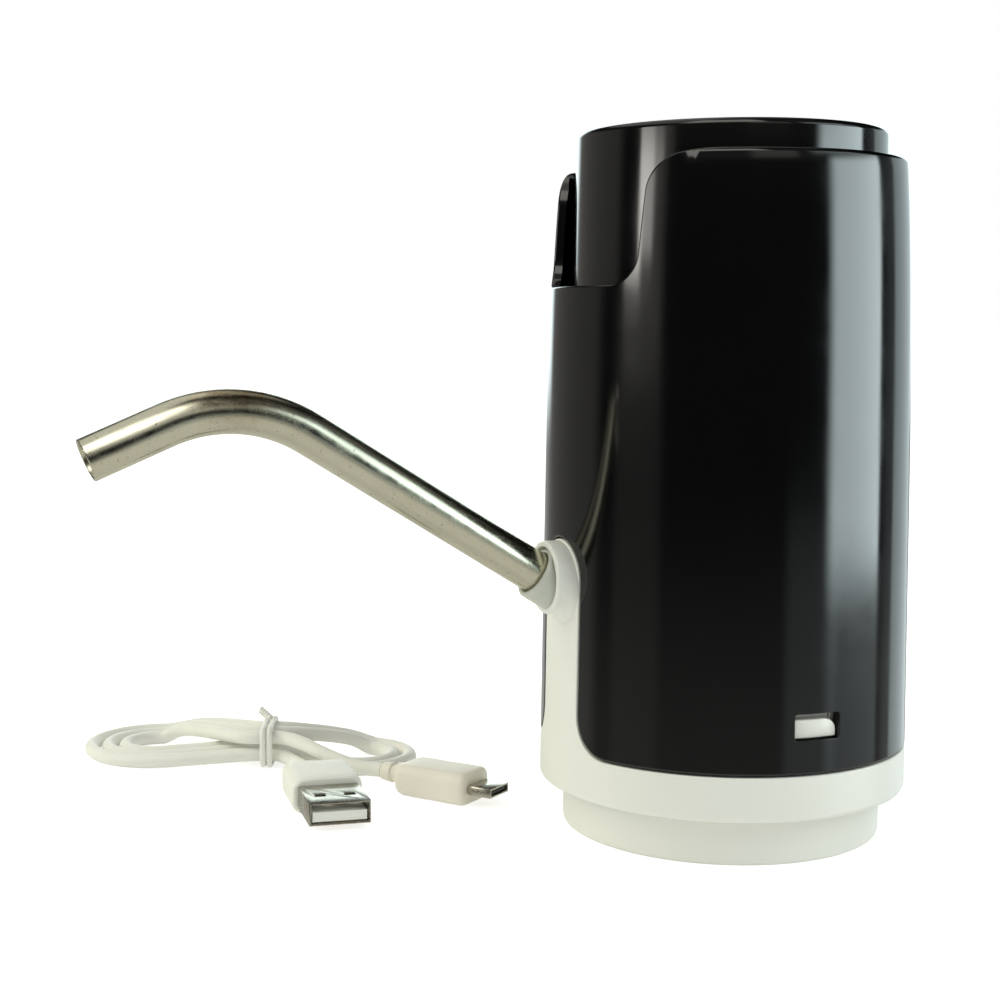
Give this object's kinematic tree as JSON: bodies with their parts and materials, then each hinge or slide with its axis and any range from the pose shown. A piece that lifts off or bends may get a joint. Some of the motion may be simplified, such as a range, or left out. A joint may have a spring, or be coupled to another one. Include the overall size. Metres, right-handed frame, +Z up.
{
  "type": "bottled water pump",
  "caption": "Battery pump that drops over a large bottle's neck: black barrel, white base, bent steel spout, push button and charging cable.",
  "frame": {"origin": "centre of the neck ring's underside, where the pump stands or meets the bottle", "axes": "+Z up along the barrel's axis, -Y towards the spout, +X to the right of someone who faces the spout's tip from behind the pump"},
  "size_m": [0.1408, 0.1582, 0.1326],
  "materials": {
    "black_gloss": "polished black moulding",
    "white_satin": "satin white moulding",
    "pale_collar": "translucent greyish white",
    "steel": "polished stainless",
    "silicone": "milky silicone",
    "rubber": "black rubber",
    "grey_plastic": "grey moulding",
    "light_plastic": "translucent light guide",
    "cell_wrap": "shrink wrapped cell",
    "circuit": "circuit board",
    "nickel": "nickel plated",
    "cable_white": "soft white cable"
  },
  "bodies": {
    "housing": {"outer_shell": "black_gloss", "base_housing": "white_satin", "neck_cup": "white_satin", "neck_seal": "silicone", "deck_screw_1": "nickel", "deck_screw_2": "nickel", "deck_screw_3": "nickel", "chassis": "grey_plastic", "chassis_screw_1": "nickel", "chassis_screw_2": "nickel", "chassis_screw_3": "nickel", "top_cover": "black_gloss", "light_ring": "light_plastic", "button_spring": "steel", "switch_board": "circuit", "tact_switch": "rubber", "battery": "cell_wrap", "motor": "steel", "pump_case": "white_satin", "wobble_plate": "grey_plastic", "diaphragm": "rubber", "pump_cover": "white_satin", "pump_screw_1": "nickel", "pump_screw_2": "nickel", "pump_screw_3": "nickel", "inlet_barb": "white_satin", "inlet_tube": "silicone", "outlet_tube": "silicone", "charge_board": "circuit", "usb_socket": "nickel", "spout_socket": "pale_collar", "spout_seal_1": "rubber", "spout_seal_2": "rubber", "cable_lead_a": "cable_white", "cable_hank": "cable_white", "cable_lead_b": "cable_white", "cable_tie": "cable_white", "usb_a_grip": "cable_white", "usb_a_shell": "nickel", "usb_a_tongue": "white_satin", "micro_b_grip": "cable_white", "micro_b_shell": "nickel", "micro_b_tongue": "rubber"},
    "button": {"button": "black_gloss"},
    "spout": {"spout_tube": "steel"},
    "rotor": {"motor_shaft": "steel", "drive_cam": "grey_plastic"}
  },
  "joints": [
    {"name": "button_press", "type": "slide", "parent": "housing", "child": "button", "axis": [0, 0, 1], "range_m": [-0.0009, 0], "stiffness_N_per_m": 300, "springref_m": 0.002, "deforming": ["button_spring"]},
    {"name": "spout_swivel", "type": "hinge", "parent": "housing", "child": "spout", "pos_m": [0, -0.0378, 0.0496], "axis": [0, -0.8517, 0.524], "continuous": true},
    {"name": "motor_spin", "type": "hinge", "parent": "housing", "child": "rotor", "pos_m": [-0.0075, 0.0035, 0.062], "axis": [0, 0, 1], "continuous": true}
  ]
}
